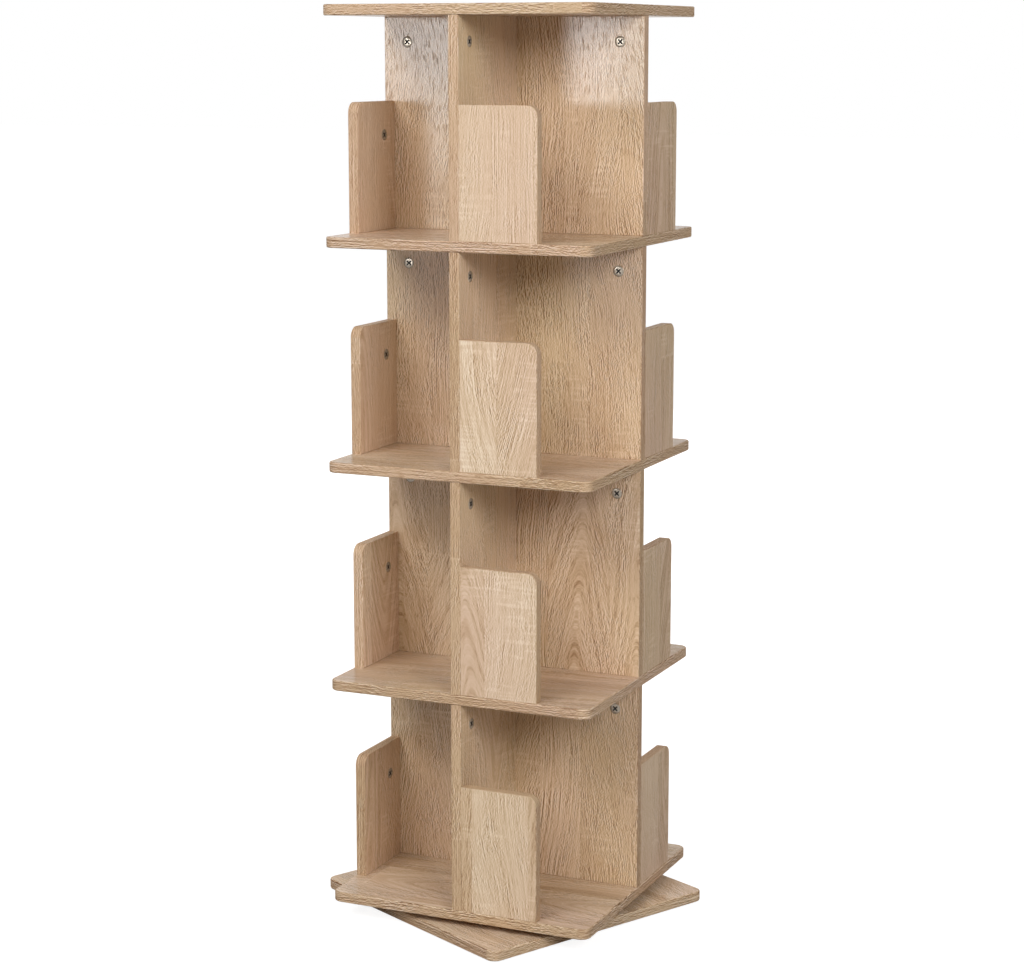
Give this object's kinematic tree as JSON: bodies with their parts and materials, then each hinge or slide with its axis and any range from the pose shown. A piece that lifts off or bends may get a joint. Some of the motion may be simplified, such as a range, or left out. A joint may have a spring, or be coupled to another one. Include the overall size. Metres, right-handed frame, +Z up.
{
  "type": "revolving bookcase",
  "caption": "Free-standing square book tower of pale oak-print board with crossed dividers and low book stops in each tier, turning on a ball-race turntable above a square base plate.",
  "frame": {"origin": "on the spin axis at floor level, under the middle of the base plate", "axes": "+Z up along the spin axis, -Y to the tower's front face, +X to its right face"},
  "size_m": [0.527, 0.527, 1.302],
  "materials": {
    "oak_board": "matt oak-print melamine",
    "zinc_fitting": "bright zinc",
    "beech_dowel": "raw fluted beech",
    "felt_pad": "dark pressed felt",
    "cage_plastic": "natural nylon",
    "bearing_steel": "polished",
    "ring_aluminium": "extruded, satin"
  },
  "bodies": {
    "base": {"base_plate": "oak_board", "base_glide_pads": "felt_pad", "turntable_inner_ring": "ring_aluminium", "base_ring_screws": "zinc_fitting"},
    "ball_race": {"ball_cage": "cage_plastic", "race_balls": "bearing_steel"},
    "tower": {"turntable_outer_ring": "ring_aluminium", "shelf_ring_screws": "zinc_fitting", "bottom_shelf": "oak_board", "second_shelf": "oak_board", "third_shelf": "oak_board", "fourth_shelf": "oak_board", "top_board": "oak_board", "tier1_long_divider": "oak_board", "tier1_front_divider": "oak_board", "tier1_back_divider": "oak_board", "tier2_long_divider": "oak_board", "tier2_front_divider": "oak_board", "tier2_back_divider": "oak_board", "tier3_long_divider": "oak_board", "tier3_front_divider": "oak_board", "tier3_back_divider": "oak_board", "tier4_long_divider": "oak_board", "tier4_front_divider": "oak_board", "tier4_back_divider": "oak_board", "tier1_front_stop": "oak_board", "tier1_right_stop": "oak_board", "tier1_back_stop": "oak_board", "tier1_left_stop": "oak_board", "tier2_front_stop": "oak_board", "tier2_right_stop": "oak_board", "tier2_back_stop": "oak_board", "tier2_left_stop": "oak_board", "tier3_front_stop": "oak_board", "tier3_right_stop": "oak_board", "tier3_back_stop": "oak_board", "tier3_left_stop": "oak_board", "tier4_front_stop": "oak_board", "tier4_right_stop": "oak_board", "tier4_back_stop": "oak_board", "tier4_left_stop": "oak_board", "divider_cam_nuts": "zinc_fitting", "divider_cam_bolts": "zinc_fitting", "divider_screws": "zinc_fitting", "stop_cam_nuts": "zinc_fitting", "stop_cam_bolts": "zinc_fitting", "stop_screws": "zinc_fitting", "divider_top_dowels": "beech_dowel", "centre_dowels": "beech_dowel"}
  },
  "joints": [
    {"name": "tower_spin", "type": "hinge", "parent": "base", "child": "tower", "pos_m": [0, 0, 0], "axis": [0, 0, 1], "continuous": true},
    {"name": "ball_race_spin", "type": "hinge", "parent": "base", "child": "ball_race", "pos_m": [0, 0, 0], "axis": [0, 0, 1], "continuous": true}
  ],
  "couplings": [
    {"joint": "ball_race_spin", "follows": "tower_spin", "ratio": 0.5}
  ]
}
